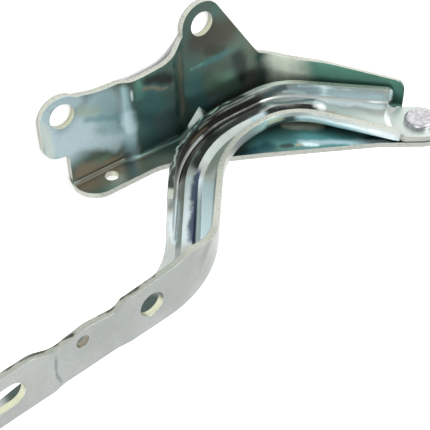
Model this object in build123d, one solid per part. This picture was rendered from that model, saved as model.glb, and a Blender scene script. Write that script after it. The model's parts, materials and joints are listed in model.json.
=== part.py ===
from build123d import *
import math
import os

# Hood hinge of the gooseneck kind, left as it is when the hood is shut. Lengths are in millimetres.
# X runs rearwards along the body rail, Y runs along the pivot axis, Z runs up.
# The stampings are drawn from the pivot axis, on the bracket face that the arm turns on. They are
# exported with the origin in the middle of the rear bolt hole, on the face that meets the body.

# Sheet and pivot stack
SHEET = 2.6                 # both stampings are pressed from this gauge
PIVOT_HOLE_RADIUS = 4.0     # the rivet fills this hole in the bracket
BUSH_WALL = 1.2
BUSH_RUNNING_GAP = 0.05     # radial play of the bush on the rivet
BUSH_FLANGE = 0.6           # keeps the two stampings apart
BUSH_FLANGE_RADIUS = 9.5
HEAD_RADIUS = 6.8
HEAD_HEIGHT = 2.9
HEAD_ROUND = 1.6            # the shoulder of the head
HEAD_PLAY = 0.05            # end play under the rivet head
TAIL_RADIUS = 5.9
TAIL_HEIGHT = 2.0
TAIL_CHAMFER = 1.1
END_RADIUS = 11.2           # rounded pivot ends of both stampings
TAB_ANGLE = 38.0            # the pivot tabs point this far above the body rail

# Body bracket, seen along the pivot axis
PLATE_Z = -65.0             # upper face of the bolt pads
PLATE_STAND_OFF = 2.5       # the plate between the pads stands off the body by this
WALL_ANGLE = 47.6           # the side wall climbs to the pivot at this angle
WALL_CORNER_X = -39.9       # where the lines of the plate and the wall would meet
WALL_END_X = 5.5
WALL_END_ABOVE = 6.5        # the cut across the wall's end reaches this far inside the wall
WALL_END_BELOW = 8.0        # and this far outside it
WALL_BEND_RADIUS = 18.0
JOGGLE_RADIUS = 5.0
BRACKET_BEND_RADIUS = 2.5   # inside radius between its web and its walls
FRONT_JOGGLE = (-117.6, -113.8)
REAR_JOGGLE = (-90.4, -84.3)
BRACKET_LEFT_X = -144.5
WEB_FRONT_Z = -52.0
WEB_CORNER_RADIUS = 10.5
WEB_KNEE = (-106.5, -66.0)  # the web's free edge leaves its front run and meets the next
WEB_KNEE_Z = -29.3
WEB_EDGE_RADIUS = 24.0      # at each turn of the web's free edge
NECK_RUN = 19.0             # straight run of the free edge into the rounded end

# Body bracket, seen along Z
LOBE_RADIUS = 10.5
FRONT_LOBE_DROP = 1.3       # the front lobe is rounded about a point this far below its hole
FRONT_LOBE_LEAVE = 50.0     # where each lobe meets the edges beside it, round its middle
REAR_LOBE_MEET = 191.4
REAR_LOBE_LEAVE = 37.7
BOLT_HOLE_RADIUS = 5.75
FRONT_BOLT = (-145.5, 36.9)
REAR_BOLT = (-73.7, 52.1)
SADDLE = [(-128.5, 41.2), (-108.0, 40.6), (-93.5, 42.0)]  # edge of the plate between the lobes
SADDLE_RADII = (40, 60, 14)
LOBE_FOOT_Y = 16.6
LOBE_FOOT_RADII = (2.5, 8.5)
WALL_TOP = [(-42.0, 24.7), (-29.5, 21.5), (-19.0, 20.6)]  # top edge of the wall from its bend
WALL_TOP_RADII = (3, 30, 30)
WALL_TOP_SLOPE = 0.275      # fall of the rest of the top edge towards the pivot
WALL_END_CORNER = 6.0
LOCATING_HOLE = (-128.3, -59.4)
LOCATING_HOLE_RADIUS = 3.1
GUSSET_X = -76.0            # a dart is pressed across the bend here
GUSSET_REACH = 9.5          # along the plate and up the web
GUSSET_HALF_WIDTH = 8.5

# Hood arm, seen along the pivot axis
ARM_LIFT = 1.4              # the channel web runs this far above the pivot tab
PAD_RADIUS = 13.0           # flat round pad under the rivet head
PAD_SLOPE_RUN = 2.8
ARM_BEND_RADIUS = 1.5       # inside radius between its web and its walls
REAR_RUN_Z = -57.7          # lowest line of the channel, along its outer wall
FRONT_RUN_Z = -38.0         # the opposite wall of the channel
NECK_ANGLE = 129.5          # direction of the straight part of the gooseneck
REAR_FLANGE_Y = 11.7
LIP_Y = 7.3
REAR_FLANGE_END = 10.5      # from the pivot back along the tab
FRONT_FLANGE_END = 11.2
FLANGE_CORNER = 3.0         # rounded corner at the end of the rear flange
RELIEF_RADIUS = 2.2
BEAD_CREST = 4.2            # flat width
BEAD_HEIGHT = 1.9
BEAD_REAR_RUN = 2.4         # width of its slope on the side of the rear wall
BEAD_FRONT_RUN = 3.2

REAR_LINE_START = (12.0, -6.6)
REAR_BEND_X = -37.1
NECK_FOOT_X = -96.4         # where the lines of the lowest run and of the neck would meet
FRONT_LINE_START = (-7.4, 23.6)
FRONT_BEND_X = -44.1
FRONT_NECK_X = -82.3
FLANGE_STEP = 46.5          # along the neck, where the rear wall drops to a lip
LIP_END = 63.0              # along the neck, where the lip has sunk to the web
LIP_RUN_OUT = 6.0           # the bend itself turns away this far past the lip
WEB_EDGE_CORNER = (-145.9, 3.9)
WEB_EDGE_SLOPE = 0.1815
PAD_CUT_RADIUS = 17.0
REAR_WALL_FRONT_X = -150.0  # the rear wall and its lip lie behind this
WALL_ZONE = 6.5             # the rear wall and its bend lie within this of its outer face
FRONT_FLANGE_Y = 9.3
BEAD_INSET = 8.8            # from the rear wall's outer face to the middle of the bead
BEAD_START_X = -29.3
BEAD_END = 76.0             # along the neck

# Hood strap
STRAP_TILT = 3.75           # the strap rises towards its front end
STRAP_START = (-136.0, 23.0)
STRAP_RECESS = 0.8          # the strap between its pads clears the hood by this
REAR_STEP = (-176.5, -182.0)
FRONT_STEP = (-205.0, -209.5)
STRAP_END_X = -247.0
STRAP_CORNER = 6.0
STRAP_TOP_Y = 27.5
HOOD_HOLE_RADIUS = 5.25
HOOD_HOLE = (-166.5, 16.85)
HOOD_SLOT = (-228.8, 16.7)
HOOD_SLOT_TRAVEL = 6.0
GAUGE_HOLE = (-196.1, 19.6)
GAUGE_HOLE_RADIUS = 2.6

WEB_BASE = BUSH_FLANGE                   # underside of the arm's tab
TAB_TOP = WEB_BASE + SHEET
CHANNEL_BASE = WEB_BASE + ARM_LIFT
CHANNEL_FLOOR = CHANNEL_BASE + SHEET
BUSH_BORE_RADIUS = PIVOT_HOLE_RADIUS + BUSH_RUNNING_GAP
BUSH_RADIUS = BUSH_BORE_RADIUS + BUSH_WALL
FAR = 300.0                              # past every outline
TALL = 90.0                              # above every wall
END_STOCK = 20.0                         # sheet left past an end before it is cut
SHALLOW = 16.0                           # drills that meet one wall only


def shift_path(points, distance):
    """The open polyline moved sideways, to the left of its direction when distance is positive."""
    moved = []
    for i, (x, z) in enumerate(points):
        ahead = points[min(i + 1, len(points) - 1)]
        behind = points[max(i - 1, 0)]
        a = math.atan2(z - behind[1], x - behind[0]) if i > 0 else None
        b = math.atan2(ahead[1] - z, ahead[0] - x) if i < len(points) - 1 else None
        a = b if a is None else a
        b = a if b is None else b
        half = (b - a + math.pi) % (2 * math.pi) - math.pi
        reach = distance / math.cos(half / 2)
        normal = a + half / 2 + math.pi / 2
        moved.append((x + reach * math.cos(normal), z + reach * math.sin(normal)))
    return moved


def turns_left(points, i):
    """Whether the polyline turns left at its inner corner i."""
    (ax, az), (bx, bz), (cx, cz) = points[i:i + 3]
    return (bx - ax) * (cz - bz) - (bz - az) * (cx - bx) > 0


def bent_path(points, radii, distance=0.0):
    """A bent line of sheet, moved sideways, with each radius following its offset."""
    moved = shift_path(points, distance)
    fitted = [r - distance if turns_left(points, i) else r + distance for i, r in enumerate(radii)]
    return FilletPolyline(*[(x, 0, z) for x, z in moved], radius=fitted)


def closed_by(path, corners):
    """The face between a path and straight runs through the given corners."""
    ends = [path @ 1] + [Vector(x, 0, z) for x, z in corners] + [path @ 0]
    return make_face([path, Polyline(*ends)])


def rise(face, low, high):
    """A face in the XZ plane swept along the pivot axis from low to high."""
    return extrude(Pos(0, low, 0) * face, amount=high - low, dir=(0, 1, 0))


def bottom_edges(solid, level):
    """The edges of a solid that lie in the plane Y = level."""
    return solid.edges().filter_by_position(Axis.Y, level - 0.01, level + 0.01)


def near_path(edges, path, reach=0.3):
    """Those edges whose middle lies on the path, seen along the pivot axis."""
    def offset(edge):
        middle = edge @ 0.5
        return path.distance_to(Vector(middle.X, 0, middle.Z))
    return [edge for edge in edges if offset(edge) < reach]


def nearest_edge(solid, place):
    """The edge whose middle is nearest to the place."""
    return min(solid.edges(), key=lambda edge: (edge @ 0.5 - place).length)


def round_hole(x, z, radius):
    """A drill along the pivot axis."""
    return Pos(x, 0, z) * Rot(90, 0, 0) * Cylinder(radius, TALL * 2)


# Body bracket

def bracket_line():
    """The upper face of the plate and the inner face of the wall, from front to rear."""
    low, high = PLATE_Z, PLATE_Z + PLATE_STAND_OFF
    reach = WALL_END_X + END_STOCK - WALL_CORNER_X
    top = PLATE_Z + reach * math.tan(math.radians(WALL_ANGLE))
    points = [
        (-FAR, low),
        (FRONT_JOGGLE[0], low),
        (FRONT_JOGGLE[1], high),
        (REAR_JOGGLE[0], high),
        (REAR_JOGGLE[1], low),
        (WALL_CORNER_X, low),
        (WALL_CORNER_X + reach, top),
    ]
    concave = JOGGLE_RADIUS
    convex = JOGGLE_RADIUS + SHEET
    return points, [concave, convex, convex, concave, WALL_BEND_RADIUS]


def bracket_tray():
    """The plate and wall bent up from the web, before any edge is cut."""
    points, radii = bracket_line()
    inner = bent_path(points, radii)
    outer = bent_path(points, radii, -SHEET)
    corners = [(points[-1][0], FAR), (-FAR, FAR)]
    block = rise(closed_by(outer, corners), -SHEET, TALL)
    block = fillet(near_path(bottom_edges(block, -SHEET), outer), BRACKET_BEND_RADIUS + SHEET)
    hollow = rise(closed_by(inner, corners), 0, TALL)
    hollow = fillet(near_path(bottom_edges(hollow, 0), inner), BRACKET_BEND_RADIUS)
    return block - hollow


def rounded(shape, corners):
    """Rounds, one after another, the corners of a flat shape nearest to the given places."""
    for place, radius in corners:
        corner = shape.vertices().sort_by_distance(Vector(*place))[0]
        shape = fillet(corner, radius)
    return shape


def wall_end():
    """Where the inner face of the wall ends, seen along the pivot axis."""
    return WALL_END_X, PLATE_Z + (WALL_END_X - WALL_CORNER_X) * math.tan(math.radians(WALL_ANGLE))


def bracket_plan():
    """What the bracket keeps, seen along the pivot axis: the free edge of its web and its end."""
    tab = math.radians(TAB_ANGLE)
    along, across = math.cos(tab), math.sin(tab)
    tangent = (-END_RADIUS * across, END_RADIUS * along)
    neck = (tangent[0] - NECK_RUN * along, tangent[1] - NECK_RUN * across)
    wall = math.radians(WALL_ANGLE)
    end_x, end_z = wall_end()
    below = (end_x + WALL_END_BELOW * math.sin(wall), end_z - WALL_END_BELOW * math.cos(wall))
    above = (end_x - WALL_END_ABOVE * math.sin(wall), end_z + WALL_END_ABOVE * math.cos(wall))
    over_plate = PLATE_Z + PLATE_STAND_OFF
    outline = [
        (-FAR, 0, -FAR),
        (-FAR, 0, over_plate),
        (BRACKET_LEFT_X, 0, over_plate),
        (BRACKET_LEFT_X, 0, WEB_FRONT_Z),
        (WEB_KNEE[0], 0, WEB_FRONT_Z),
        (WEB_KNEE[1], 0, WEB_KNEE_Z),
        (neck[0], 0, neck[1]),
        (tangent[0], 0, tangent[1]),
        (0, 0, 0),
        (above[0], 0, above[1]),
        (below[0], 0, below[1]),
        (below[0], 0, -FAR),
    ]
    shape = make_face(Polyline(*outline, close=True))
    corners = [(outline[3], WEB_CORNER_RADIUS)] + [(turn, WEB_EDGE_RADIUS) for turn in outline[4:7]]
    return rounded(shape, corners)


def on_lobe(middle, angle):
    """A point on the rounded end of a lobe."""
    turn = math.radians(angle)
    return middle[0] + LOBE_RADIUS * math.cos(turn), middle[1] + LOBE_RADIUS * math.sin(turn)


def wall_top_y(x):
    """Height of the wall's straight top edge near the pivot."""
    return WALL_TOP[-1][1] - WALL_TOP_SLOPE * (x - WALL_TOP[-1][0])


def bracket_profile():
    """What the bracket keeps, seen along Z: the two bolt lobes and the wall's top edge."""
    front = (FRONT_BOLT[0], FRONT_BOLT[1] - FRONT_LOBE_DROP)
    left = front[0] - LOBE_RADIUS
    past_end = WALL_END_X + END_STOCK
    body = [
        (BRACKET_LEFT_X, -END_STOCK),
        (BRACKET_LEFT_X, LOBE_FOOT_Y),
        (left, LOBE_FOOT_Y),
        (left, front[1]),
        front,
        on_lobe(front, FRONT_LOBE_LEAVE),
        *SADDLE,
        on_lobe(REAR_BOLT, REAR_LOBE_MEET),
        REAR_BOLT,
        on_lobe(REAR_BOLT, REAR_LOBE_LEAVE),
        *WALL_TOP,
        (past_end, wall_top_y(past_end)),
        (past_end, -END_STOCK),
    ]
    shape = make_face(Polyline(*body, close=True))
    shape = shape + Pos(*front) * Circle(LOBE_RADIUS) + Pos(*REAR_BOLT) * Circle(LOBE_RADIUS)
    turns = zip(body[1:3] + SADDLE + WALL_TOP, LOBE_FOOT_RADII + SADDLE_RADII + WALL_TOP_RADII)
    return rounded(shape, [((x, y, 0), radius) for (x, y), radius in turns])


def dart(inset, low):
    """A roof-shaped ridge across the bend between web and plate, its faces moved in by inset."""
    crest = GUSSET_REACH * math.sqrt(0.5)
    slope = crest / GUSSET_HALF_WIDTH
    crest -= inset * math.hypot(1, slope)
    width = (crest - low) / slope
    across = Plane(origin=(GUSSET_X, 0, PLATE_Z), x_dir=(1, 0, 0), z_dir=(0, -1, 1))
    roof = make_face(Polyline((-width, low), (0, crest), (width, low), close=True))
    return extrude(across * roof, amount=END_STOCK, both=True)


def body_bracket():
    """The stamping that is bolted to the body."""
    kept = rise(bracket_plan(), -30, TALL) + round_hole(0, 0, END_RADIUS)
    sheet = bracket_tray() & kept
    profile = bracket_profile()
    sheet = sheet & extrude(profile, amount=FAR, both=True)
    inside = Pos(GUSSET_X, -SHEET / 2, PLATE_Z - SHEET / 2)
    sheet += dart(0, 0) & inside * Box(FAR, TALL, TALL, align=(Align.CENTER, Align.MIN, Align.MIN))
    sheet -= dart(SHEET, -END_STOCK)
    for x, y in (FRONT_BOLT, REAR_BOLT):
        sheet -= Pos(x, y, PLATE_Z) * Cylinder(BOLT_HOLE_RADIUS, SHALLOW)
    sheet -= round_hole(LOCATING_HOLE[0], LOCATING_HOLE[1], LOCATING_HOLE_RADIUS)
    sheet -= round_hole(0, 0, PIVOT_HOLE_RADIUS)
    wall = math.radians(WALL_ANGLE)
    end_x, end_z = wall_end()
    half = SHEET / 2
    corner = Vector(end_x + half * math.sin(wall), wall_top_y(end_x), end_z - half * math.cos(wall))
    return fillet(nearest_edge(sheet, corner), WALL_END_CORNER)


# Hood arm

def neck_point(along):
    """A point on the outer face of the gooseneck's straight rear wall."""
    neck = math.radians(NECK_ANGLE)
    return NECK_FOOT_X + along * math.cos(neck), REAR_RUN_Z + along * math.sin(neck)


def arm_rear_edge():
    """The rear outline of the arm: the outer face of its rear wall, then the web's free edge."""
    points = [REAR_LINE_START, (REAR_BEND_X, REAR_RUN_Z), neck_point(0), WEB_EDGE_CORNER]
    end_z = WEB_EDGE_CORNER[1] + (WEB_EDGE_CORNER[0] + FAR) * WEB_EDGE_SLOPE
    return points + [(-FAR, end_z)], [30, 66, 34]


def strap_z(x):
    """Height of the strap's outer face on its pads."""
    return STRAP_START[1] + (STRAP_START[0] - x) * math.tan(math.radians(STRAP_TILT))


def arm_front_line():
    """The outer face of the channel's front wall and of the strap, from the pivot forwards."""
    points = [
        FRONT_LINE_START,
        (FRONT_BEND_X, FRONT_RUN_Z),
        (FRONT_NECK_X, FRONT_RUN_Z),
        STRAP_START,
        (REAR_STEP[0], strap_z(REAR_STEP[0])),
        (REAR_STEP[1], strap_z(REAR_STEP[1]) - STRAP_RECESS),
        (FRONT_STEP[0], strap_z(FRONT_STEP[0]) - STRAP_RECESS),
        (FRONT_STEP[1], strap_z(FRONT_STEP[1])),
        (-FAR, strap_z(-FAR)),
    ]
    soft, hard = JOGGLE_RADIUS + SHEET, JOGGLE_RADIUS
    return points, [24, 50, 55, soft, hard, hard, soft]


def between(rear, front):
    """The face between two paths that run the same way."""
    return make_face([rear, front, Line(rear @ 0, front @ 0), Line(rear @ 1, front @ 1)])


def arm_tray():
    """Both walls of the channel bent up from its web, before any edge is cut."""
    edge_points, edge_radii = arm_rear_edge()
    turn_x, turn_z = neck_point(LIP_END + LIP_RUN_OUT)
    rear_points = edge_points[:3] + [(turn_x, turn_z), (-FAR, edge_points[-1][1] - END_STOCK)]
    rear_radii = edge_radii[:2] + [LIP_RUN_OUT]
    front_points, front_radii = arm_front_line()
    outside = ARM_BEND_RADIUS + SHEET
    blocks = []
    for inset, level, bend in ((0, CHANNEL_BASE, outside), (SHEET, CHANNEL_FLOOR, ARM_BEND_RADIUS)):
        rear = bent_path(rear_points, rear_radii, -inset)
        front = bent_path(front_points, front_radii, inset)
        block = rise(between(rear, front), level, TALL)
        edges = bottom_edges(block, level)
        blocks.append(fillet(near_path(edges, rear) + near_path(edges, front), bend))
    return blocks[0] - blocks[1]


def tab_box(back, front, low, high):
    """A tall block along the tab's own directions, from back to front and from low to high."""
    size = (front - back, TALL * 2, high - low)
    return Rot(0, -TAB_ANGLE, 0) * Pos((back + front) / 2, 0, (low + high) / 2) * Box(*size)


def stepped_web():
    """The web round the pivot, with the pad pressed down to the bracket."""
    draft = SHEET * math.tan(math.atan2(ARM_LIFT, PAD_SLOPE_RUN) / 2)
    section = Polyline(
        (0, WEB_BASE),
        (PAD_RADIUS + draft, WEB_BASE),
        (PAD_RADIUS + PAD_SLOPE_RUN + draft, CHANNEL_BASE),
        (PAD_CUT_RADIUS, CHANNEL_BASE),
        (PAD_CUT_RADIUS, CHANNEL_FLOOR),
        (PAD_RADIUS + PAD_SLOPE_RUN, CHANNEL_FLOOR),
        (PAD_RADIUS, TAB_TOP),
        (0, TAB_TOP),
        close=True,
    )
    disc = revolve(make_face(section), axis=Axis.Y)
    rear_points, rear_radii = arm_rear_edge()
    front_points, front_radii = arm_front_line()
    outline = between(bent_path(rear_points, rear_radii), bent_path(front_points, front_radii))
    channel = rise(outline, -5, 20)
    channel -= tab_box(-REAR_FLANGE_END, 60, -60, 60)
    channel -= tab_box(-FRONT_FLANGE_END, 60, END_RADIUS, 60)
    tab = tab_box(-30, 0, -END_RADIUS, END_RADIUS) + round_hole(0, 0, END_RADIUS)
    return disc & (channel + tab)


def bead_face(rear, front, level):
    """The slot-shaped outline of the bead, which follows the gooseneck, with its two half widths."""
    edge_points, edge_radii = arm_rear_edge()
    points = shift_path(edge_points[:3] + [neck_point(BEAD_END)], -BEAD_INSET)
    (ax, az), (bx, bz) = points[:2]
    points[0] = (BEAD_START_X, bz + (az - bz) * (BEAD_START_X - bx) / (ax - bx))
    radii = [edge_radii[0] - BEAD_INSET, edge_radii[1] - BEAD_INSET]
    left = bent_path(points, radii, rear)
    right = bent_path(points, radii, -front)
    start, end = (left @ 0 + right @ 0) / 2, (left @ 1 + right @ 1) / 2
    reach = (rear + front) / 2
    caps = [
        ThreePointArc(left @ 0, start - (left % 0) * reach, right @ 0),
        ThreePointArc(left @ 1, end + (left % 1) * reach, right @ 1),
    ]
    return Pos(0, level, 0) * make_face([left, right] + caps)


def slope_inset(run):
    """How far a slope's foot moves in from one face of the sheet to the other."""
    return SHEET * math.tan(math.atan2(BEAD_HEIGHT, run) / 2)


def bead(low, rear_inset=0.0, front_inset=0.0):
    """A rib with sloping sides on the bead's outline."""
    rear, front = BEAD_CREST / 2 - rear_inset, BEAD_CREST / 2 - front_inset
    foot = bead_face(rear + BEAD_REAR_RUN, front + BEAD_FRONT_RUN, low)
    crest = bead_face(rear, front, low + BEAD_HEIGHT)
    return loft([foot, crest], ruled=True)


def arm_front_profile():
    """What is cut off above the front wall and the strap, seen along Z."""
    top = FilletPolyline(
        (END_STOCK, FRONT_FLANGE_Y - 0.6),
        (-92, FRONT_FLANGE_Y + 0.9),
        (-121, 15.0),
        (-146, STRAP_TOP_Y + 1.3),
        (-178, STRAP_TOP_Y - 1.0),
        (-181.5, STRAP_TOP_Y - 4.2),
        (-194, STRAP_TOP_Y - 2.5),
        (-206, STRAP_TOP_Y - 4.5),
        (-216, STRAP_TOP_Y),
        (STRAP_END_X, STRAP_TOP_Y),
        (STRAP_END_X, -END_STOCK),
        radius=[40, 30, 9, 2.5, 3, 12, 5, 7, STRAP_CORNER],
    )
    around = Polyline(top @ 1, (-FAR, -END_STOCK), (-FAR, FAR), (END_STOCK, FAR), top @ 0)
    return make_face([top, around])


def above_lip():
    """What is cut off above the lip, which sinks along the neck from the rear wall's end to the web."""
    side = Polyline(
        (FLANGE_STEP, FAR),
        (FLANGE_STEP, LIP_Y),
        (LIP_END, CHANNEL_FLOOR),
        (FAR, CHANNEL_FLOOR),
        (FAR, FAR),
        close=True,
    )
    x, z = neck_point(0)
    return Pos(x, 0, z) * Rot(0, -NECK_ANGLE, 0) * extrude(make_face(side), amount=END_STOCK, both=True)


def trim_walls(sheet):
    """Cuts the free edge of the web and both walls to their heights."""
    edge_points, edge_radii = arm_rear_edge()
    free_edge = bent_path([neck_point(LIP_END)] + edge_points[3:], edge_radii[2:])
    sheet -= rise(closed_by(free_edge, [(-FAR, -FAR)]), -TALL, TALL)
    border = bent_path(edge_points, edge_radii, -WALL_ZONE)
    rear_zone = rise(closed_by(border, [(-FAR, -FAR), (edge_points[0][0], -FAR)]), CHANNEL_FLOOR, TALL)
    strap_zone = Pos(REAR_WALL_FRONT_X - FAR, 0, 0) * Box(FAR * 2, FAR, FAR * 2)
    rear_zone -= strap_zone
    sheet -= rear_zone & Pos(0, REAR_FLANGE_Y + FAR / 2, 0) * Box(FAR * 2, FAR, FAR * 2)
    sheet -= rear_zone & above_lip()
    front_zone = rise(closed_by(border, [(-FAR, FAR), (edge_points[0][0], FAR)]), -TALL, TALL)
    above = extrude(arm_front_profile(), amount=FAR, both=True)
    return sheet - (above & (front_zone + strap_zone))


def strap_drill(x, y, radius, travel=0.0):
    """A drill square to the strap, lengthened along it for a slot."""
    ends = [Pos(shift, 0, 0) * Cylinder(radius, SHALLOW) for shift in (-travel / 2, travel / 2)]
    tool = ends[0] + ends[1] + Box(max(travel, 0.1), radius * 2, SHALLOW)
    return Pos(x, y, strap_z(x)) * Rot(0, STRAP_TILT, 0) * tool


def flange_corner(sheet, line, inward, back, top_y):
    """The sheet with the upper corner rounded where a flange on the given line ends."""
    (ax, az), (bx, bz) = shift_path(line, inward)
    tab = math.radians(TAB_ANGLE)
    start = ax * math.cos(tab) + az * math.sin(tab) + back
    run = (bx - ax) * math.cos(tab) + (bz - az) * math.sin(tab)
    place = Vector(ax - (bx - ax) * start / run, top_y, az - (bz - az) * start / run)
    return fillet(nearest_edge(sheet, place), FLANGE_CORNER)


def hood_arm():
    """The stamping that carries the hood: pivot tab, gooseneck channel and strap."""
    tray = arm_tray()
    tray -= tab_box(-REAR_FLANGE_END, FAR, -FAR, 0)
    tray -= tab_box(-FRONT_FLANGE_END, FAR, 0, FAR)
    core = Rot(90, 0, 0) * Cylinder(PAD_CUT_RADIUS, TALL)
    tray -= Pos(0, CHANNEL_FLOOR - TALL / 2, 0) * core
    sheet = trim_walls(tray)
    sheet += stepped_web()
    sheet += bead(CHANNEL_FLOOR)
    sheet -= bead(CHANNEL_BASE, slope_inset(BEAD_REAR_RUN), slope_inset(BEAD_FRONT_RUN))
    sheet -= Pos(STRAP_END_X - FAR / 2, 0, 0) * Box(FAR, FAR, FAR)
    corner = END_RADIUS + 1
    for back, across in ((REAR_FLANGE_END, -corner), (FRONT_FLANGE_END, corner)):
        relief = Rot(0, -TAB_ANGLE, 0) * Pos(-back, 0, across) * Rot(90, 0, 0)
        sheet -= relief * Cylinder(RELIEF_RADIUS, TALL)
    rear_line = [REAR_LINE_START, (REAR_BEND_X, REAR_RUN_Z)]
    sheet = flange_corner(sheet, rear_line, -SHEET / 2, REAR_FLANGE_END, REAR_FLANGE_Y)
    sheet -= round_hole(0, 0, BUSH_RADIUS)
    sheet -= strap_drill(*HOOD_HOLE, HOOD_HOLE_RADIUS)
    sheet -= strap_drill(*HOOD_SLOT, HOOD_HOLE_RADIUS, HOOD_SLOT_TRAVEL)
    sheet -= strap_drill(*GAUGE_HOLE, GAUGE_HOLE_RADIUS)
    return sheet


# Pivot

def pivot_rivet():
    """The headed rivet, formed over under the bracket, that joins both stampings."""
    head_base = TAB_TOP + HEAD_PLAY
    head_top = head_base + HEAD_HEIGHT
    tail_top = -SHEET
    tail_base = tail_top - TAIL_HEIGHT
    section = Polyline(
        (0, head_top),
        (0, tail_base),
        (TAIL_RADIUS - TAIL_CHAMFER, tail_base),
        (TAIL_RADIUS, tail_base + TAIL_CHAMFER),
        (TAIL_RADIUS, tail_top),
        (PIVOT_HOLE_RADIUS, tail_top),
        (PIVOT_HOLE_RADIUS, head_base),
        (HEAD_RADIUS, head_base),
        (HEAD_RADIUS, head_top),
        close=True,
    )
    shape = rounded(make_face(section), [((HEAD_RADIUS, head_top, 0), HEAD_ROUND)])
    return revolve(shape, axis=Axis.Y)


def pivot_bush():
    """The flanged bush, pressed into the arm, that turns on the rivet."""
    section = Polyline(
        (BUSH_BORE_RADIUS, 0),
        (BUSH_FLANGE_RADIUS, 0),
        (BUSH_FLANGE_RADIUS, BUSH_FLANGE),
        (BUSH_RADIUS, BUSH_FLANGE),
        (BUSH_RADIUS, TAB_TOP),
        (BUSH_BORE_RADIUS, TAB_TOP),
        close=True,
    )
    return revolve(make_face(section), axis=Axis.Y)


PARTS = {
    "body_bracket": body_bracket,
    "hood_arm": hood_arm,
    "pivot_rivet": pivot_rivet,
    "pivot_bush": pivot_bush,
}

ORIGIN = (REAR_BOLT[0], REAR_BOLT[1], PLATE_Z - SHEET)

os.makedirs("parts", exist_ok=True)
for name, build in PARTS.items():
    piece = Pos(*[-value for value in ORIGIN]) * build()
    print(name, round(piece.volume, 1), len(piece.solids()))
    export_step(piece, f"parts/{name}.step")
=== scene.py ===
import json
import math
from collections import namedtuple

import bpy
from bpy.props import FloatProperty, FloatVectorProperty, PointerProperty
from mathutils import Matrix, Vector

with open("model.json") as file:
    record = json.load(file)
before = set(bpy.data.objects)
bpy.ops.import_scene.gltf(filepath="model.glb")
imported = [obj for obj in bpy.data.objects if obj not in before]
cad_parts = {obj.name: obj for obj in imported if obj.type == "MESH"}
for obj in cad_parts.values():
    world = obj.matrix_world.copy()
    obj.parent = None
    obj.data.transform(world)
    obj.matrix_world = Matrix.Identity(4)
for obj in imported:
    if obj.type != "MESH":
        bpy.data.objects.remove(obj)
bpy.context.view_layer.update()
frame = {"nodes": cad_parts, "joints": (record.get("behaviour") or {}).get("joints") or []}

bl_info = {
    "name": "Hood Hinge Finish",
    "version": (1, 0, 0),
    "blender": (4, 5, 0),
    "location": "3D View > Sidebar > Hood Hinge",
    "description": "Plated steel finishes and a small studio for a gooseneck hood hinge",
    "category": "Material",
}

MM = 0.001


def linear(hex_code):
    """An sRGB colour written as #RRGGBB, as linear red, green and blue."""
    channels = [int(hex_code[i:i + 2], 16) / 255 for i in (1, 3, 5)]
    return tuple(c / 12.92 if c <= 0.04045 else ((c + 0.055) / 1.055) ** 2.4 for c in channels)


def colour(name, description, hex_code):
    return FloatVectorProperty(
        name=name,
        description=description,
        default=linear(hex_code),
        subtype="COLOR",
        min=0.0,
        max=1.0,
    )


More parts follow.
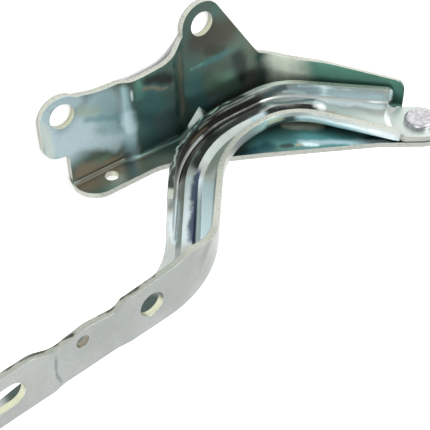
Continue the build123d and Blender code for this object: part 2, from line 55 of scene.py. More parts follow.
class HingeFinish(bpy.types.PropertyGroup):
    """Colours and grain of the plated steel, with the colours of the highlights, reflections and shade
    painted on it.
    """
    silver: colour("Silver", "Clear zinc plating where it is thin and clean", "#BABFBC")
    silver_shade: colour("Silver Shade", "The same plating where it is duller", "#AAAFAC")
    teal: colour("Teal Cast", "The thicker film on the bracket's inner faces", "#48635D")
    olive: colour("Olive Cast", "The teal film where it turns towards brown", "#545A4F")
    sheared: colour("Sheared Edge", "Plating over the broken band of a sheared edge", "#BABDB4")
    burr: colour("Burr", "Dark tears along a sheared edge", "#6F706A")
    # White is laid only as painted highlights: the end of the bead, the channel floor and the slope of the
    # pivot pad.
    white: colour("White", "Plating burnished bright", "#EEF4F2")
    # Frost is laid only as painted highlights: thin pale lines on the joggle, the walls, the flanks and the
    # web.
    frost: colour("Frost", "The faintest blue film", "#DFF1F5")
    # Ice is laid only as painted reflection in the arm's channel.
    ice: colour("Ice", "A thin blue grey film", "#C4D1D5")
    mist: colour("Mist", "A thin grey green film", "#C6D2CC")
    pale_blue: colour("Pale Blue", "The blue film of clear passivation", "#B2C8CE")
    blue: colour("Blue", "The same blue, thicker", "#94B3B8")
    steel_blue: colour("Steel Blue", "Where the blue turns green", "#789CA2")
    slate: colour("Slate", "A dark blue grey film", "#5E7476")
    # Navy is laid only as painted reflection on the bead in the arm's channel.
    navy: colour("Navy", "The darkest blue film", "#38445A")
    # Pale green is laid only as painted light: the highlight on the bracket's side wall and the lit web in
    # the arm's shadow.
    pale_green: colour("Pale Green", "A thin green film", "#EEF8E8")
    sage: colour("Sage", "Green turning to straw", "#A5B7A6")
    sea_green: colour("Sea Green", "A green film on a wall in half shade", "#5E9082")
    moss: colour("Moss", "A brownish green film", "#5C7A68")
    lagoon: colour("Lagoon", "Teal on the web, in the arm's shade", "#5C9292")
    mid_teal: colour("Middle Teal", "The teal of the bolt plate", "#466F70")
    deep_teal: colour("Deep Teal", "The teal film at its thickest", "#2A4A48")
    petrol: colour("Petrol", "Teal turning to black", "#15404A")
    straw: colour("Straw", "Straw coloured film inside the punched holes", "#C2C4AA")
    beige: colour("Beige", "A thin brown film", "#BBAA92")
    brown: colour("Brown", "The brown film by the bends", "#7F786B")
    umber: colour("Umber", "The same brown, thicker", "#47453E")
    lilac: colour("Lilac", "Grey with a breath of purple", "#AEAFB7")
    grey: colour("Grey", "Dull plating", "#92978F")
    # Middle grey is laid only as painted shade: the crease of the strap's front step and the gutter of the
    # neck.
    mid_grey: colour("Middle Grey", "Duller plating", "#788483")
    gunmetal: colour("Gunmetal", "Plating that sees only the part's own shade", "#46514E")
    charcoal: colour("Charcoal", "Near black with some brown", "#383932")
    black: colour("Black", "Near black with some green", "#282D2C")
    # Painted shade, laid only in the gutters of the arm's channel.
    soot: colour("Soot", "The dark of a fold", "#181712")
    grain: FloatProperty(
        name="Grain",
        description="Length of the marks that rolling leaves in the sheet",
        default=0.7 * MM,
        unit="LENGTH",
    )
    cloud: FloatProperty(
        name="Cloud",
        description="Size of the clouds in the plating's film",
        default=22 * MM,
        unit="LENGTH",
    )
    edge_round: FloatProperty(
        name="Edge Round",
        description="Radius that plating and tumbling leave on an edge",
        default=0.3 * MM,
        unit="LENGTH",
    )


class HingeStudio(bpy.types.PropertyGroup):
    """The camera and the plain studio."""
    camera_place: FloatVectorProperty(
        name="Camera Place",
        description="Where the photograph was taken from",
        default=(-222.1 * MM, 230.9 * MM, 294.9 * MM),
        subtype="TRANSLATION",
        unit="LENGTH",
    )
    camera_turn: FloatVectorProperty(
        name="Camera Turn",
        description="How the camera is turned",
        default=tuple(math.radians(angle) for angle in (-42.71, -38.34, -0.47)),
        subtype="EULER",
        unit="ROTATION",
    )
    lens: FloatProperty(
        name="Lens",
        description="Focal length in millimetres on a 36 mm picture",
        default=83.7,
        min=10.0,
    )
    floor_width: FloatProperty(
        name="Floor Width",
        description="Side of the square floor",
        default=8.0,
        unit="LENGTH",
    )
    floor_colour: colour("Floor", "Matt white paper", "#F6F6F4")


def add(tree, kind, fill=None, **settings):
    """Adds a node, makes its settings, and fills its inputs with values or with other sockets."""
    node = tree.nodes.new(kind)
    for name, value in settings.items():
        setattr(node, name, value)
    for key, value in (fill or {}).items():
        socket = node.inputs[key]
        if isinstance(value, bpy.types.NodeSocket):
            tree.links.new(value, socket)
        else:
            socket.default_value = value
    return node


def new_tree(name):
    """An empty material and its node tree."""
    material = bpy.data.materials.new(name)
    material.use_nodes = True
    material.node_tree.nodes.clear()
    return material, material.node_tree


def solid(rgb):
    """A colour with full alpha, as a colour socket takes it."""
    return (*rgb, 1.0)


def times(tree, first, second):
    """The product of two values."""
    return add(tree, "ShaderNodeMath", {0: first, 1: second}, operation="MULTIPLY").outputs[0]


def window(tree, value, low, high, soft):
    """One where a value lies between low and high, nought elsewhere, with a soft step."""
    rise = add(
        tree,
        "ShaderNodeMapRange",
        {"Value": value, "From Min": low - soft, "From Max": low},
    )
    fall = add(
        tree,
        "ShaderNodeMapRange",
        {"Value": value, "From Min": high, "From Max": high + soft, "To Min": 1.0, "To Max": 0.0},
    )
    return times(tree, rise.outputs[0], fall.outputs[0])


# A patch is a spot or a streak of colour laid over the plating. Some are the plating's own tint; many, most
# of all on the arm, are painted highlights, painted reflections and painted shade. A patch lies round a line
# from start to end, fades to nought at its reach, and may be kept to faces that look one way and to one range
# of heights. Places, reaches and heights are in millimetres.
Film = namedtuple("Film", "name colour start end reach strength facing level", defaults=(None, None))
Surface = namedtuple("Surface", "tree place drifted normal")

PATCH_CORE = 0.2        # share of its reach over which a patch lies at full strength
FACING_SOFT = 0.04     # a patch fades out over this much of the normal
LEVEL_SOFT = 0.3 * MM  # and over this much height
DRIFT = 5 * MM         # span of the wander that frays a patch's rim
DRIFT_SIZE = 9 * MM    # how far it is from one wander to the next

# The way a face looks, as the least and most of one part of its normal. Kept to faces that look one way, a
# patch lays a painted reflection or a painted highlight on the faces that slope that way.
UP = ("Z", 0.8, 1.1)
SLOPE = ("Z", 0.4, 0.85)
WALL_TURN = ("Z", 0.65, 0.98)
WALL_FACE = ("Z", 0.5, 0.95)
DART_FACE = ("Z", 0.5, 0.62)
STRAP_TOP = ("Z", 0.3, 1.1)
STRAP_ROOT = ("Z", -0.1, 0.9)
STRAP_BEND = ("Y", -0.97, -0.15)
BEND = ("Y", 0.16, 0.8)
WEB = ("Y", 0.8, 1.1)
FLAT = ("Y", 0.97, 1.1)
FLANK = ("Y", 0.84, 0.88)
BACK = ("Y", 0.76, 0.81)
PAD_SLOPE = ("Y", 0.6, 0.96)
UPRIGHT = ("Y", -0.3, 0.3)
OUTSIDE = ("Y", -0.9, 0.3)
OUTER_FOOT = ("Y", -0.8, 0.3)
OUTER_TURN = ("Y", -0.5, 0.3)

# Heights along the pivot axis. Those of the arm go from its tab up to the rims of its channel.
BEND_LINE = (-51.6, -50.1)
OUTER_WALL = (-50, -44.6)
PAD = (-49.1, -48.7)
GUTTER = (-47.7, -47.3)
GUTTER_FILLET = (-47.7, -46.2)
GUTTER_LIP = (-47.7, -45.5)
LOWER_FLANK = (-47.6, -46.55)
UPPER_FLANK = (-46.35, -45.5)
TURN_WALL = (-47.5, -42)
WALL = (-46.9, -40.6)
WALL_HALF = (-46.9, -44.3)
WALL_FOOT = (-46.9, -45.4)
CREST = (-45.8, -45.4)
MIDDLE_WALL = (-45.9, -44)
SPOT_WALL = (-46, -43)
FLANGE = (-44.6, -42)
UPPER_WALL = (-42.6, -41.2)
WALL_TOP = (-42.2, -40.4)
WALL_RIM = (-41.4, -40.3)

# Where the flat faces lie.
PAD_FACE = 2.6      # upper face of the bracket's bolt pads
PLATE_FACE = 5.1    # upper face of its plate between them
WEB_FACE = -52      # inner face of its web
FLOOR_FACE = -47.5  # floor of the arm's channel
CREST_FACE = -45.5  # crest of the channel's bead
RIM_FACE = -40.5    # cut edge of the channel's rear wall


def on_pad(x, y):
    return (x, y, PAD_FACE)


def on_plate(x, y):
    return (x, y, PLATE_FACE)


def on_web(x, z):
    return (x, WEB_FACE, z)


def on_floor(x, z):
    return (x, FLOOR_FACE, z)


def on_crest(x, z):
    return (x, CREST_FACE, z)


def on_rim(x, z):
    return (x, RIM_FACE, z)


def along(name, film, points, reach, strength):
    """One patch laid along a line with corners, as a list with a patch for each leg."""
    return [Film(name, film, start, end, reach, strength) for start, end in zip(points, points[1:])]


def surface(tree):
    """The place and the normal of each point, as part of a node tree.

    The drifted place wanders by two millimetres or so, which frays the rims of the patches.
    """
    coords = add(tree, "ShaderNodeTexCoord")
    place = coords.outputs["Object"]
    wander = add(tree, "ShaderNodeTexNoise", {"Vector": place, "Scale": 1 / DRIFT_SIZE, "Detail": 3.0})
    shift = add(
        tree,
        "ShaderNodeVectorMath",
        {0: wander.outputs["Color"], 1: (0.5, 0.5, 0.5)},
        operation="SUBTRACT",
    )
    drifted = add(
        tree,
        "ShaderNodeVectorMath",
        {0: shift.outputs[0], 1: (DRIFT, DRIFT, DRIFT), 2: place},
        operation="MULTIPLY_ADD",
    )
    level = add(tree, "ShaderNodeSeparateXYZ", {0: place})
    normal = add(tree, "ShaderNodeSeparateXYZ", {0: coords.outputs["Normal"]})
    return Surface(tree, level, drifted.outputs[0], normal)


def patch_mask(on, film):
    """How strongly a patch lies on each point: full on its line, nought beyond its reach.

    With A and B the ends of the line, the distance of P from it is |P - A - t (B - A)|, where t is
    (P - A) . (B - A) / |B - A|^2 kept between nought and one.
    """
    tree = on.tree
    start, end = Vector(film.start) * MM, Vector(film.end) * MM
    line = end - start
    from_start = add(tree, "ShaderNodeVectorMath", {0: on.drifted, 1: start}, operation="SUBTRACT")
    share = add(
        tree,
        "ShaderNodeVectorMath",
        {0: from_start.outputs[0], 1: line / line.length_squared},
        operation="DOT_PRODUCT",
    )
    clamped = add(tree, "ShaderNodeClamp", {"Value": share.outputs["Value"]})
    nearest = add(
        tree,
        "ShaderNodeVectorMath",
        {0: line, "Scale": clamped.outputs[0]},
        operation="SCALE",
    )
    distance = add(
        tree,
        "ShaderNodeVectorMath",
        {0: from_start.outputs[0], 1: nearest.outputs[0]},
        operation="DISTANCE",
    )
    fade = add(
        tree,
        "ShaderNodeMapRange",
        {
            "Value": distance.outputs["Value"],
            "From Min": film.reach * MM,
            "From Max": film.reach * PATCH_CORE * MM,
            "To Min": 0.0,
            "To Max": film.strength,
        },
        interpolation_type="SMOOTHSTEP",
    )
    mask = fade.outputs[0]
    if film.facing:
        axis, least, most = film.facing
        mask = times(tree, mask, window(tree, on.normal.outputs[axis], least, most, FACING_SOFT))
    if film.level:
        low, high = (height * MM for height in film.level)
        mask = times(tree, mask, window(tree, on.place.outputs["Y"], low, high, LEVEL_SOFT))
    return mask


def lay_patches(on, base, laid_patches, finish):
    """The base colour with each patch laid over it in turn: tints, and painted highlights, reflections and
    shade.
    """
    for film in laid_patches:
        mixed = add(
            on.tree,
            "ShaderNodeMix",
            {"Factor": patch_mask(on, film), 6: base, 7: solid(getattr(finish, film.colour))},
            data_type="RGBA",
            label=film.name,
        )
        base = mixed.outputs[2]
    return base


FRONT_PAD_FILMS = [
    Film("light blue front lobe", "pale_blue", on_pad(-72, -32), on_pad(-54, -19), 15, 1.0, UP),
    Film("blue before the front bolt", "pale_blue", on_pad(-79, -13), on_pad(-77, -27), 7, 0.95, UP),
    Film("blue over the front bolt", "pale_blue", on_pad(-76, -7), on_pad(-65, -10), 7, 0.95, UP),
    Film("blue towards the joggle", "blue", on_pad(-52, -17), on_pad(-48, -38), 8, 0.9, UP),
    Film("pale blue under the front bolt", "pale_blue", on_pad(-71, -28), on_pad(-47, -41), 6, 0.9, UP),
    Film("blue green band", "steel_blue", on_pad(-61, -22), on_pad(-45, -28), 3, 0.8, UP),
    Film("straw tint beside the front bolt", "sage", on_pad(-63, -17), on_pad(-56, -20), 4, 0.7, UP),
    Film("beige end of the front lobe", "mist", on_pad(-81, -16), on_pad(-80, -31), 4, 0.9, UP),
    Film("brown film by the front bend", "brown", on_pad(-67, -47), on_pad(-45, -51), 6, 0.95, UP),
    Film("green spot in the brown film", "moss", on_pad(-57, -47), on_pad(-53, -46), 3, 0.8, UP),
]

PLATE_PATCHES = [
    Film("light crest of the front joggle", "blue", (-42, -15, 4), (-42, -31, 4), 4, 0.8),
    Film("blue lower part of the front joggle", "blue", (-41, -33, 4), (-41, -49, 4), 5, 0.9),
    # A painted highlight on the slope of the front joggle.
    Film("bright line on the front joggle", "frost", on_plate(-39, -15), on_plate(-39, -20), 1, 0.9),
    Film("pale patch on the front joggle", "pale_blue", (-41, -28, 4), (-41, -36, 4), 4, 0.8),
    Film("light teal past the joggle", "sea_green", on_plate(-35, -14), on_plate(-35, -20), 4, 0.8, UP),
    Film("teal middle plate", "mid_teal", on_plate(-30, -27), on_plate(-27, -42), 14, 0.9, UP),
    # Painted shade behind the front joggle.
    Film("dark film behind the joggle", "slate", on_plate(-25, -38), on_plate(-21, -50), 7, 0.8, UP),
    Film("black spot", "black", on_plate(-31, -14), on_plate(-20, -18), 4, 0.95, UP),
    Film("streak under the black spot", "brown", on_plate(-33, -18), on_plate(-22, -22), 1.5, 0.8, UP),
    # Painted shade along the fold of the rear joggle.
    Film("dark line of the rear joggle", "deep_teal", on_plate(-17, -13), on_plate(-15, -48), 1.5, 0.9),
    Film("brown crest of the rear joggle", "brown", (-13, -9, 4), (-12, -42, 3), 2, 0.7),
]

REAR_PAD_FILMS = [
    Film("dark brown rear lobe", "umber", on_pad(-1, -7), on_pad(13, -9), 12, 1.0, UP),
    Film("brown spot under the rear bolt", "charcoal", on_pad(4, -15), on_pad(10, -18), 5, 0.7, UP),
    Film("teal behind the rear joggle", "mid_teal", on_pad(-5, -29), on_pad(-1, -44), 9, 0.9, UP),
    Film("green middle of the plate", "moss", on_pad(7, -32), on_pad(17, -39), 8, 0.8, UP),
    Film("blue green towards the wall", "black", on_pad(20, -25), on_pad(24, -37), 6, 0.8, UP),
    Film("brown film before the wall", "olive", on_pad(29, -32), on_pad(27, -43), 5, 0.8, UP),
    Film("light streak under the rear bolt", "sea_green", on_pad(-7, -21), on_pad(2, -21), 1.5, 0.8, UP),
    Film("teal end of the streak", "mid_teal", on_pad(2, -21), on_pad(13, -20), 3.5, 0.7, UP),
    Film("dark spot by the dart", "slate", on_pad(5, -43), on_pad(11, -43), 4, 0.7, UP),
]

# The bracket's side wall: the pale green middle and its fading are a painted highlight, the dark green turn a
# painted reflection in the bend, and the dark green far part and its end the plating's teal darkened by
# painted reflection.
SIDE_WALL_PATCHES = [
    Film("dark green turn", "deep_teal", (33, -29, 4), (35, -34, 5), 3.5, 0.9, WALL_TURN),
    Film("pale green middle", "pale_green", (40, -32, 9), (41, -42, 11), 10, 1.0, WALL_FACE),
    Film("pale green fading", "pale_green", (46, -33, 16), (48, -40, 18), 8, 0.7, SLOPE),
    Film("dark green far part", "sea_green", (54, -35, 24), (75, -42, 47), 14, 0.95, SLOPE),
    Film("darkest end", "sea_green", (75, -40, 48), (78, -48, 51), 5, 0.8, SLOPE),
]

WEB_PATCHES = [
    Film("brown lower web", "brown", on_web(-66, 4), on_web(-34, 15), 12, 0.95, WEB),
    Film("blue grey blot across the bend", "slate", (-43, -51, 4), on_web(-46, 13), 4, 0.7),
    Film("beige streak", "brown", on_web(-58, 4), on_web(-48, 9), 4, 0.6, WEB),
    Film("teal web under the arm", "lagoon", on_web(12, 30), on_web(54, 62), 13, 1.0, WEB),
    # Painted light: the web in the arm's shadow made pale green as if lit.
    Film("green web under the arm", "pale_green", on_web(29, 28), on_web(39, 38), 5, 0.9, WEB),
    # Painted shade between the arm and the web by the pivot.
    Film("blue black by the pivot", "petrol", on_web(51, 61), on_web(58, 69), 5, 0.95, WEB),
    Film("dark teal foot", "petrol", on_web(1, 33), on_web(11, 36), 6, 0.9, WEB),
    # A painted highlight along the step near the web's front edge, with a white blot in it.
    Film("light cyan band", "pale_blue", on_web(25, 42), on_web(54, 66), 2.8, 0.95, WEB),
    Film("white blot", "frost", on_web(25, 44), on_web(28, 47), 2.4, 0.95, WEB),
    Film("beige spot", "beige", on_web(22, 42), on_web(23, 43), 1.5, 0.9, WEB),
    Film("slate shade", "charcoal", on_web(16, 39), on_web(19, 41), 2.5, 0.8, WEB),
    # A painted dark reflection along the bend between web and plate.
    Film("dark bend", "charcoal", (-67, -50.5, 3), (-44, -50, 3), 4, 0.9, BEND, BEND_LINE),
    # A painted highlight on the face of the dart.
    Film("pale face of the dart", "mist", (-7, -48, 3), (-5, -46, 3), 6, 0.95, DART_FACE),
]

BRACKET_PATCHES = FRONT_PAD_FILMS + PLATE_PATCHES + REAR_PAD_FILMS + SIDE_WALL_PATCHES + WEB_PATCHES

STRAP_PATCHES = [
    # Painted shade on the web under the strap, in the corner between strap and web.
    Film("web under the strap", "gunmetal", on_floor(-147, 88), on_floor(-86, 82), 9, 1.0, FLAT, GUTTER),
    # A painted shade line along the crease of the front step.
    Film("crease of the front step", "mid_grey", (-134, -30, 95), (-134, -45, 95), 1.1, 0.7),
    Film("cool pad", "silver_shade", (-76, -26, 91), (-87, -35, 92), 10, 0.6, UP),
    Film("blue tint at the root", "silver_shade", (-73, -28, 90), (-76, -33, 90), 5, 0.7, STRAP_TOP),
    Film("grey shade at the root", "grey", (-60, -30, 81), (-67, -34, 88), 5, 0.8, STRAP_ROOT),
    Film("lilac lower bend", "lilac", (-154, -46, 96), (-94, -48, 92), 40, 0.8, STRAP_BEND),
]

# The arm's rear wall: the blue, slate and dark bands and the dark line at the rim are painted reflections;
# the pale top, the pale feet and the teal line are painted highlights.
REAR_WALL_PATCHES = [
    Film("blue by the pivot", "pale_blue", (42, -43, 20), (74, -46, 50), 6, 0.95, UPRIGHT, WALL),
    Film("pale top", "frost", (43, -41, 20.5), (74, -42.5, 49.5), 1.5, 0.8, UPRIGHT, WALL_TOP),
    Film("pale foot", "frost", (43.5, -46.5, 21), (74, -47, 49.5), 1.5, 0.7, UPRIGHT, WALL_FOOT),
    Film("dark lower bend", "umber", (-33, -46, 28), (-13, -42, 16), 9, 1.0, UPRIGHT, WALL),
    Film("dark low run", "umber", (-12, -43, 16), (27, -46, 12), 8, 1.0, UPRIGHT, WALL),
    Film("slate past the low run", "slate", (29, -44, 13), (37, -43, 16), 3, 0.9, UPRIGHT, WALL),
    Film("pale foot of the slate", "frost", (37, -45, 16), (44, -45, 22), 2, 0.8, UPRIGHT, WALL_HALF),
    Film("teal line", "mist", (-12, -42, 16), (21, -42.5, 12.5), 2, 0.9, UPRIGHT, UPPER_WALL),
    Film("dark line", "black", (-7.5, -41.5, 14.5), (19.5, -41.5, 12.5), 0.9, 0.8, UPRIGHT, WALL_RIM),
    Film("brown blot", "beige", (-18, -45.5, 18.5), (-8, -46, 15), 3, 0.7, UPRIGHT, MIDDLE_WALL),
]

# The arm's channel: the dark and light bands on the floor, the bead and its flanks are painted reflections,
# the dark notch beside the pad is painted shade, and the white end of the bead, the white floor and the white
# slope of the pad are painted highlights.
CHANNEL_PATCHES = [
    Film("dark gutter, lower bend", "soot", on_floor(-35, 32), on_floor(-8, 16), 9, 0.95, FLAT, GUTTER),
    Film("dark gutter, low run", "soot", on_floor(-8, 16), (23, -47, 13), 5, 0.9, None, GUTTER_FILLET),
    Film("dark crest, lower bend", "charcoal", on_crest(-26, 32), on_crest(-10, 22), 6, 1.0, FLAT, CREST),
    Film("dark crest, low run", "black", on_crest(-9, 21), on_crest(23, 17), 4.5, 0.95, FLAT, CREST),
    Film("slate edge of the crest", "slate", on_crest(24, 16.5), on_crest(44, 28), 2, 0.9, FLAT, CREST),
    Film("dark rear flank, lower bend", "charcoal", (-32, -45, 32), (-10, -46, 19), 9, 0.95, BACK),
    Film("dark rear flank, low run", "umber", (-10, -46, 19), (22, -46, 15), 5, 0.95, BACK),
    Film("grey rear flank, neck", "grey", (-59, -46, 64), (-39, -46, 39), 6, 0.95, BACK),
    Film("white front flank, lower bend", "mist", (-18, -47, 30), (16, -46, 21), 6, 1.0, FLANK),
    Film("grainy end of the white flank", "pale_blue", (15, -46, 22), (23, -46, 21), 5, 0.8, FLANK),
    Film("black front flank, low run", "black", (24.5, -46.5, 22.5), (41, -46, 31), 6, 1.0, FLANK),
    Film("navy upper flank, neck", "navy", (-54, -46, 67), (-30, -46, 38), 8, 1.0, FLANK, UPPER_FLANK),
    Film("pale lower flank, neck", "frost", (-52, -47, 67), (-31, -47, 42), 8, 0.9, FLANK, LOWER_FLANK),
    Film("white end of the bead", "white", (43.5, -45.5, 31.5), (45, -46.5, 34), 3, 1.0),
    Film("grey front floor, bend", "grey", on_floor(-24, 35), on_floor(0, 25), 5, 0.9, FLAT, GUTTER),
    Film("blue front floor, neck", "pale_blue", on_floor(-50, 67), on_floor(-30, 44), 7, 0.9, FLAT, GUTTER),
    Film("blue crest, neck", "ice", on_crest(-57, 65), on_crest(-34, 38), 5, 0.9, FLAT, CREST),
    Film("dark edge of the crest", "navy", on_crest(-56, 67), on_crest(-31, 37.5), 2.6, 0.95, FLAT, CREST),
    Film("pale gutter by the lip", "ice", on_floor(-60.5, 61), (-46, -47, 43), 3, 0.9, None, GUTTER_LIP),
    Film("grey gutter, neck", "mid_grey", on_floor(-59, 61), on_floor(-41, 38), 2.5, 0.9, FLAT, GUTTER),
    Film("white floor", "white", on_floor(49, 29.5), on_floor(67, 50), 3.5, 1.0, FLAT, GUTTER),
    Film("pale green floor", "mist", on_floor(47, 35.5), on_floor(60.5, 58.5), 4.5, 0.8, FLAT, GUTTER),
    Film("brown freckles", "beige", on_floor(44, 36), on_floor(50.5, 47), 1.2, 0.6, FLAT, GUTTER),
    Film("dark notch beside the pad", "umber", (55, -43, 71.5), (59.5, -49, 71), 1.7, 0.95),
    Film("white slope of the pad", "white", on_floor(67, 47), on_floor(60, 61), 5, 0.9, PAD_SLOPE),
    Film("grey green pad", "mist", (70, -49, 55), (72, -49, 74), 14, 0.8, FLAT, PAD),
]

FRONT_FLANGE_PATCHES = [
    Film("pale inside", "silver", (36, -44, 41), (54, -44, 71), 6, 0.9, UPRIGHT, FLANGE),
    # A painted highlight along the foot of the flange.
    Film("white foot", "frost", (29, -47, 33), (54, -48, 70), 5, 1.0, OUTER_FOOT, OUTER_WALL),
    Film("dark outside, low run", "gunmetal", (16, -47, 29), (28, -47, 32), 5, 0.95, OUTSIDE, OUTER_WALL),
    Film("brown spot", "beige", (17, -45, 29.5), (22.5, -45, 30.5), 3, 0.8, UPRIGHT, SPOT_WALL),
    Film("pale outside, bend", "silver", (-9, -44, 35), (12, -45, 29), 5, 0.9, OUTER_TURN, TURN_WALL),
]

ARM_PATCHES = STRAP_PATCHES + REAR_WALL_PATCHES + CHANNEL_PATCHES + FRONT_FLANGE_PATCHES

BRACKET_EDGE_FILMS = [
    Film("straw front bolt hole", "straw", on_pad(-68, -19), on_pad(-67, -18), 7, 0.8),
    Film("straw rear bolt hole", "straw", on_pad(5, -5), on_pad(3, -6), 7, 0.8),
    Film("straw locating hole", "straw", on_web(-56, 11), (-52, -54, 6), 4, 0.8),
]

ARM_EDGE_PATCHES = [
    Film("duller edge along the strap", "grey", (-153, -24, 94), (-82, -24, 90), 16, 0.95),
    # Painted shade inside the lip of the hood bolt hole.
    Film("dark lip of the hood bolt hole", "gunmetal", (-94, -40.5, 91.5), (-91.5, -40.5, 91.5), 1.5, 0.8),
    Film("straw hood bolt hole", "straw", (-90, -39, 92), (-92, -40, 92), 7, 0.9),
    # Painted shade inside the small gauge hole, darkened brown.
    Film("brown gauge hole", "brown", (-121, -34, 93), (-122, -35, 93), 4, 0.9),
    Film("straw slot", "straw", (-148, -39, 94), (-154, -40, 96), 9, 0.9),
]

# The underside rim of the strap from its front pad, over the step, along the recess to the rear pad.
FRONT_PAD_RIM = [(-152, -24.5, 94), (-142.5, -24.5, 93.5), (-131, -29, 92.5)]
RECESS_RIM = [(-130.5, -29, 91.5), (-125.5, -28, 91.5), (-120.5, -27.5, 91), (-114.5, -28, 90.5),
              (-107.5, -28.5, 90.5)]
REAR_PAD_RIM = [(-104, -25.5, 90.5), (-97.5, -25, 90.5), (-89.5, -24.5, 90)]
ARM_EDGE_PATCHES += along("dark rim of the front pad", "charcoal", FRONT_PAD_RIM, 1.25, 0.9)
ARM_EDGE_PATCHES += along("dark rim of the recess", "charcoal", RECESS_RIM, 1.3, 0.9)
ARM_EDGE_PATCHES += along("dark rim of the rear pad", "charcoal", REAR_PAD_RIM, 1.3, 0.9)
ARM_EDGE_PATCHES += [
    Film("dark rim below the neck", "umber", (-89.5, -24.5, 90), (-69, -47.5, 69.5), 1.1, 0.8)
]

# The rim of the rear wall, from below the lower bend to the low run: dark, with one light line, a painted
# reflection on the rounded cut edge.
ARM_EDGE_PATCHES += along(
    "dark rear rim", "black",
    [on_rim(-46, 40), on_rim(-29, 23), on_rim(-6.5, 12), on_rim(22.5, 10.5)], 4, 0.92
)
ARM_EDGE_PATCHES += [Film("grey front edge", "slate", (24, -46, 22), (36, -47, 28), 5, 0.7)]
ARM_EDGE_PATCHES += along(
    "light line on the rear rim", "mist",
    [on_rim(-44.5, 37.5), on_rim(-29, 22.5), on_rim(-6.5, 11.5), on_rim(18, 10)], 0.75, 0.8
)
ARM_EDGE_PATCHES += [Film("pale end of the rear rim", "mist", on_rim(19.5, 10), on_rim(41.5, 15.5), 4, 0.8)]


# How the sheared edges are told from the faces of a stamping
CUT_FACING = 0.25         # a cut face turns no more than this towards the faces beside it
CUT_FACING_SOFT = 0.05
CUT_SOFT = 0.05 * MM
ABOVE_ALL = 200 * MM      # higher than any wall
SHEET = 2.6 * MM          # both stampings are of this sheet
ARM_GAP = 2 * MM          # the arm's web lies this far above the bracket's
WEB_MARGIN = 0.05 * MM
BRACKET_WALLS = 2.8 * MM  # from here up, over the pivot, the bracket's walls are straight
ARM_WALLS = 6.8 * MM      # and the arm's from here

TEAR_SIZE = 1.3 * MM  # length of a tear in a sheared edge
SPOT_SIZE = 2.2 * MM  # width of a burnished spot on the turned parts


def web_window(lower_face):
    """The heights of a web that starts at this lower face, with a little to spare."""
    return (lower_face - WEB_MARGIN, lower_face + SHEET + WEB_MARGIN)


def sheared_mask(on, web, walls_above):
    """One on the cut edges of a stamping, nought on its faces.

    The blank's outline is cut square to the web and square to the plate. So within the web's
    thickness a cut face looks along the web, and above the bends a cut face looks neither up nor
    down.
    """
    tree = on.tree
    height = on.place.outputs["Y"]
    flat_y = window(tree, on.normal.outputs["Y"], -CUT_FACING, CUT_FACING, CUT_FACING_SOFT)
    flat_z = window(tree, on.normal.outputs["Z"], -CUT_FACING, CUT_FACING, CUT_FACING_SOFT)
    web_cut = times(tree, flat_y, window(tree, height, *web, CUT_SOFT))
    wall_cut = times(tree, flat_z, window(tree, height, walls_above, ABOVE_ALL, CUT_SOFT))
    return add(tree, "ShaderNodeMath", {0: web_cut, 1: wall_cut}, operation="MAXIMUM").outputs[0]


def plated_steel_and_painted_light(name, finish, base, laid_patches, edge_patches, web, walls_above):
    """Zinc plated sheet steel: a thin bright metal film that clouds from silver to blue, teal or brown.

    The eye reads soft grey reflections, casts of colour that lie in patches and streaks, fine
    rolling grain, and a paler, torn band where the blank was sheared. Many of the patches are painted
    highlights, painted reflections and painted shade laid into the base colour.
    """
    material, tree = new_tree(name)
    on = surface(tree)
    coords = add(tree, "ShaderNodeTexCoord").outputs["Object"]
    clouds = add(
        tree,
        "ShaderNodeTexNoise",
        {"Vector": coords, "Scale": 1 / finish.cloud, "Detail": 5.0, "Roughness": 0.6},
    )
    cast = add(
        tree,
        "ShaderNodeMapRange",
        {"Value": clouds.outputs["Fac"], "From Min": 0.35, "From Max": 0.65},
    )
    first = add(
        tree,
        "ShaderNodeMix",
        {"Factor": cast.outputs[0], 6: solid(base[0]), 7: solid(base[1])},
        data_type="RGBA",
    )
    shade = lay_patches(on, first.outputs[2], laid_patches, finish)
    tears = add(
        tree,
        "ShaderNodeTexNoise",
        {"Vector": coords, "Scale": 1 / TEAR_SIZE, "Detail": 3.0, "Roughness": 0.7},
    )
    torn = add(tree, "ShaderNodeMapRange", {"Value": tears.outputs["Fac"], "From Min": 0.54, "From Max": 0.8})
    edge = add(
        tree,
        "ShaderNodeMix",
        {"Factor": torn.outputs[0], 6: solid(finish.sheared), 7: solid(finish.burr)},
        data_type="RGBA",
    )
    edge = lay_patches(on, edge.outputs[2], edge_patches, finish)
    cut = sheared_mask(on, web, walls_above)
    shade = add(tree, "ShaderNodeMix", {"Factor": cut, 6: shade, 7: edge}, data_type="RGBA")
    grain = add(
        tree,
        "ShaderNodeTexNoise",
        {"Vector": coords, "Scale": 1 / finish.grain, "Detail": 3.0, "Roughness": 0.6},
    )
    speckle = add(
        tree,
        "ShaderNodeMapRange",
        {"Value": grain.outputs["Fac"], "From Min": 0.3, "From Max": 0.7, "To Min": 0.93, "To Max": 1.07},
    )
    mottled = add(
        tree,
        "ShaderNodeVectorMath",
        {0: shade.outputs[2], 1: speckle.outputs[0]},
        operation="MULTIPLY",
    )
    rough = add(
        tree,
        "ShaderNodeMapRange",
        {"Value": clouds.outputs["Fac"], "From Min": 0.3, "From Max": 0.7, "To Min": 0.3, "To Max": 0.42},
    )
    rounded = add(tree, "ShaderNodeBevel", {"Radius": finish.edge_round}, samples=4)
    bump = add(
        tree,
        "ShaderNodeBump",
        {"Strength": 0.1, "Distance": 0.05 * MM, "Height": grain.outputs["Fac"],
         "Normal": rounded.outputs[0]},
    )
    shader = add(
        tree,
        "ShaderNodeBsdfPrincipled",
        {"Base Color": mottled.outputs[0], "Metallic": 0.85, "Roughness": rough.outputs[0],
         "Normal": bump.outputs[0]},
    )
    add(tree, "ShaderNodeOutputMaterial", {"Surface": shader.outputs[0]})
    return material


